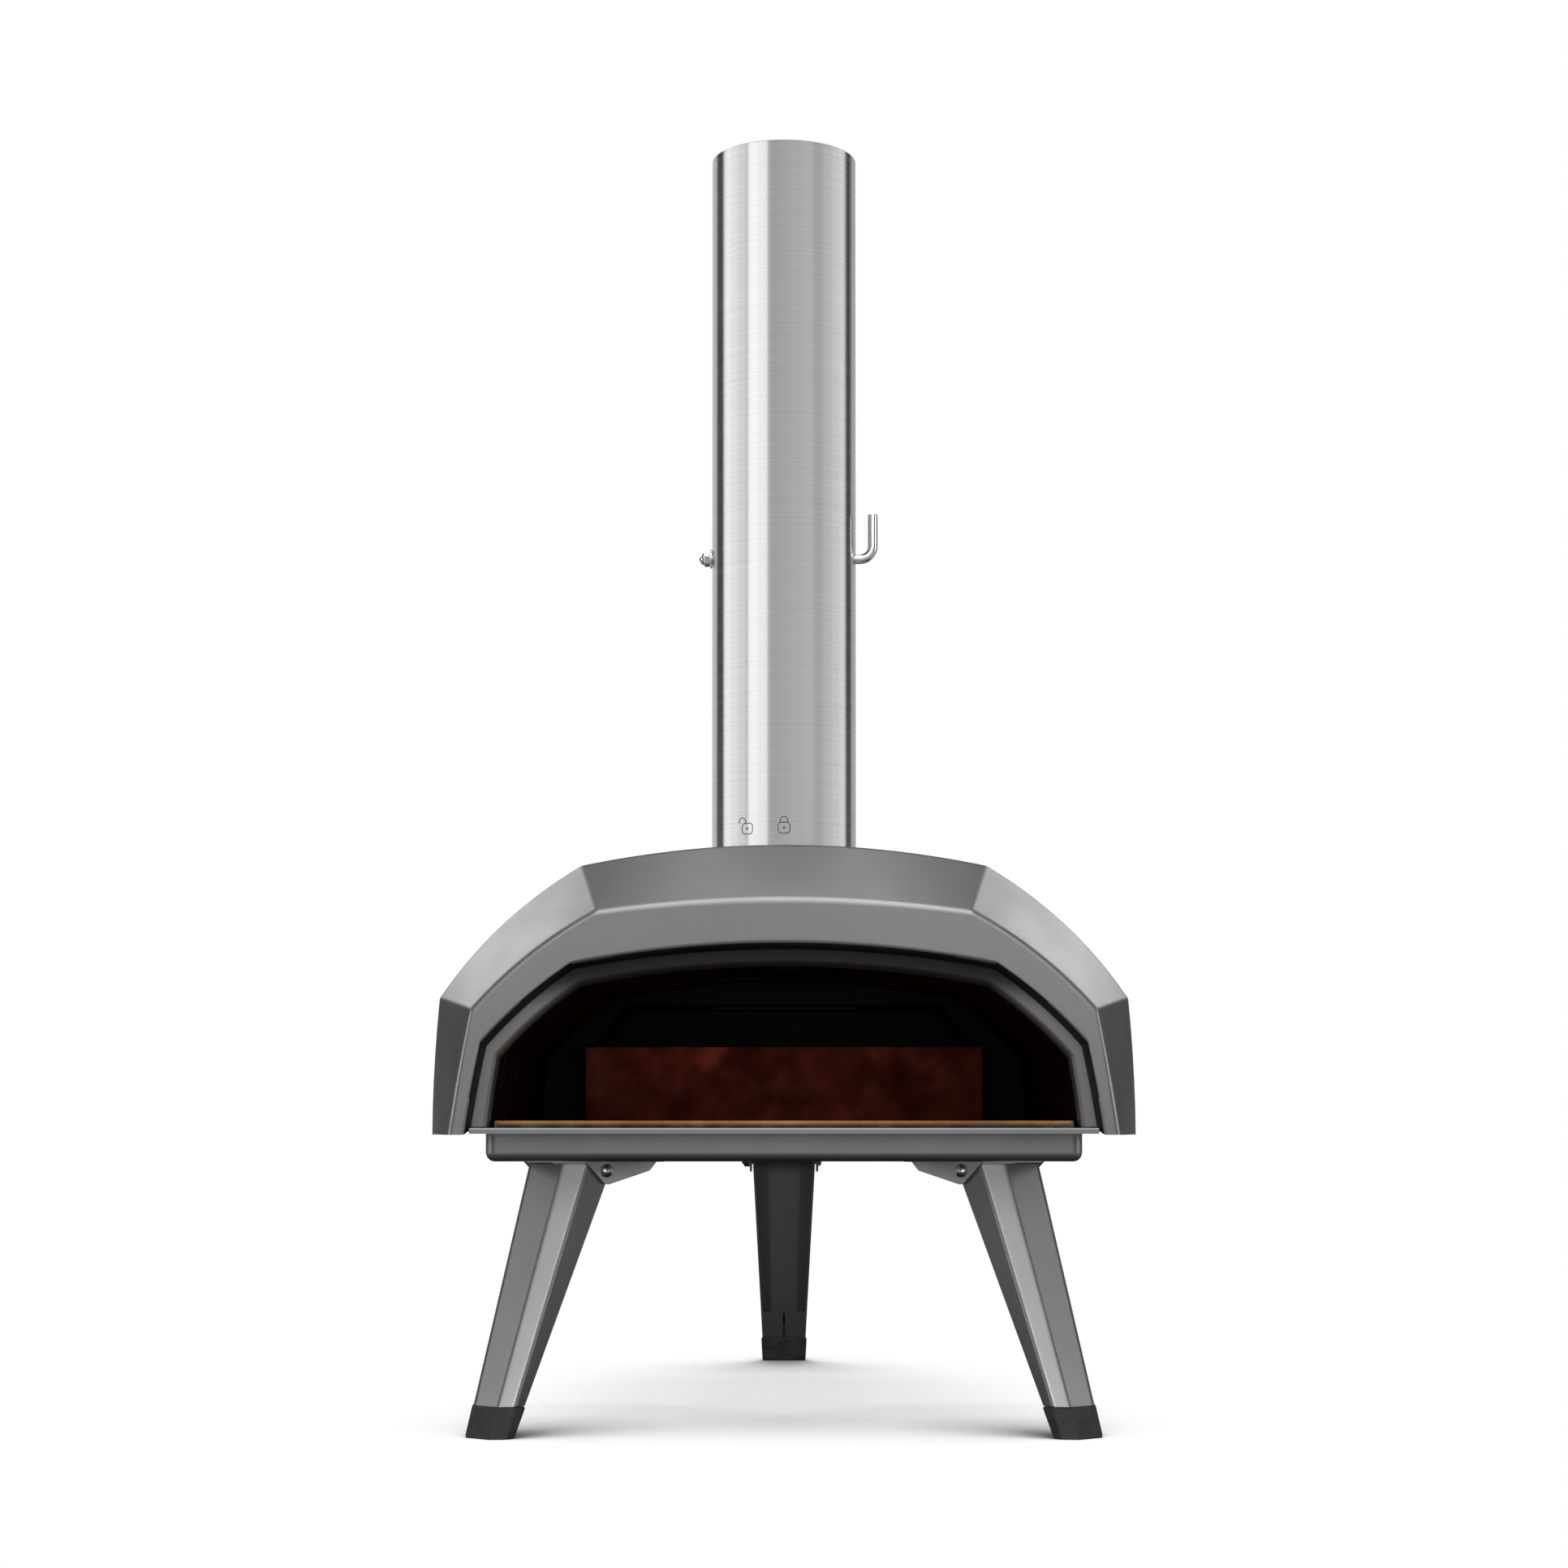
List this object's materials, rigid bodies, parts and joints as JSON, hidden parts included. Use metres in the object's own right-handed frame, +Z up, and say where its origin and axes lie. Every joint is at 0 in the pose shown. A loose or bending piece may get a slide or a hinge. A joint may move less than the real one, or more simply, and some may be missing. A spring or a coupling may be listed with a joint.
{
  "type": "wood fired pizza oven",
  "caption": "Portable outdoor pizza oven: faceted steel body on folding legs with a tall damper chimney, baking stone, rear firebox, pull-out fuel tray and lift-off hatch.",
  "frame": {"origin": "centre of the plan box on the floor, under the feet", "axes": "+Z up, -Y out of the oven's mouth, +X to the right of someone facing the oven's back"},
  "size_m": [0.4, 0.665, 0.784],
  "materials": {
    "powder_coat": "satin grey powder coat over steel sheet",
    "brushed_steel": "brushed stainless steel, grain round the tube",
    "liner_steel": "stainless sheet darkened by heat",
    "bright_steel": "bright stainless fasteners and rod",
    "rubber": "matt black moulded rubber",
    "baking_stone": "matt cordierite",
    "ceramic_wool": "white ceramic fibre blanket"
  },
  "bodies": {
    "oven": {"front_hood": "powder_coat", "mouth_frame": "powder_coat", "outer_shell": "powder_coat", "rear_plate": "powder_coat", "base_pan": "powder_coat", "sill_plate": "powder_coat", "bracket_front_left": "powder_coat", "bracket_front_right": "powder_coat", "bracket_rear": "powder_coat", "firebox_housing": "powder_coat", "hatch_neck": "powder_coat", "oven_liner": "liner_steel", "stone_rest_left": "liner_steel", "stone_rest_right": "liner_steel", "fuel_guard": "liner_steel", "chimney_collar": "brushed_steel", "collar_rivet_1": "bright_steel", "collar_rivet_2": "bright_steel", "collar_rivet_3": "bright_steel", "collar_rivet_4": "bright_steel", "pivot_screw_front_left": "bright_steel", "pivot_screw_front_right": "bright_steel", "pivot_screw_rear": "bright_steel", "pivot_nut_front_left": "bright_steel", "pivot_nut_front_right": "bright_steel", "pivot_nut_rear": "bright_steel", "insulation_blanket": "ceramic_wool"},
    "baking_stone": {"baking_stone": "baking_stone"},
    "chimney": {"chimney_tube": "brushed_steel"},
    "damper": {"damper_rod": "bright_steel", "damper_plate": "brushed_steel", "damper_washer": "bright_steel", "damper_cap_nut": "bright_steel", "damper_screw_left": "bright_steel", "damper_screw_right": "bright_steel"},
    "leg_front_left": {"leg_front_left": "powder_coat", "foot_front_left": "rubber"},
    "leg_front_right": {"leg_front_right": "powder_coat", "foot_front_right": "rubber"},
    "leg_rear": {"leg_rear": "powder_coat", "foot_rear": "rubber"},
    "fuel_tray": {"fuel_tray": "liner_steel", "tray_face": "powder_coat", "tray_handle": "bright_steel", "tray_boss_left": "bright_steel", "tray_boss_right": "bright_steel"},
    "hatch": {"hatch_lid": "powder_coat", "hatch_handle": "bright_steel", "hatch_boss_left": "bright_steel", "hatch_boss_right": "bright_steel"}
  },
  "joints": [
    {"name": "leg_front_left_fold", "type": "hinge", "parent": "oven", "child": "leg_front_left", "pos_m": [-0.12368, -0.21622, 0.1515], "axis": [0.788, -0.6157, 0], "range_deg": [0, 114]},
    {"name": "leg_front_right_fold", "type": "hinge", "parent": "oven", "child": "leg_front_right", "pos_m": [0.12368, -0.21622, 0.1515], "axis": [0.788, 0.6157, 0], "range_deg": [0, 114]},
    {"name": "leg_rear_fold", "type": "hinge", "parent": "oven", "child": "leg_rear", "pos_m": [0, 0.1925, 0.1515], "axis": [-1, 0, 0], "range_deg": [0, 114]},
    {"name": "chimney_twist", "type": "hinge", "parent": "oven", "child": "chimney", "pos_m": [0, -0.1245, 0.345], "axis": [0, 0, 1], "range_deg": [0, 32]},
    {"name": "damper_turn", "type": "hinge", "parent": "chimney", "child": "damper", "pos_m": [0, -0.1245, 0.533], "axis": [1, 0, 0], "range_deg": [0, 90]},
    {"name": "stone_lift", "type": "slide", "parent": "oven", "child": "baking_stone", "axis": [0, 0, 1], "range_m": [0, 0.018]},
    {"name": "tray_slide", "type": "slide", "parent": "oven", "child": "fuel_tray", "axis": [0, 1, 0], "range_m": [0, 0.17]},
    {"name": "hatch_lift", "type": "slide", "parent": "oven", "child": "hatch", "axis": [0, 0, 1], "range_m": [0, 0.12]}
  ]
}
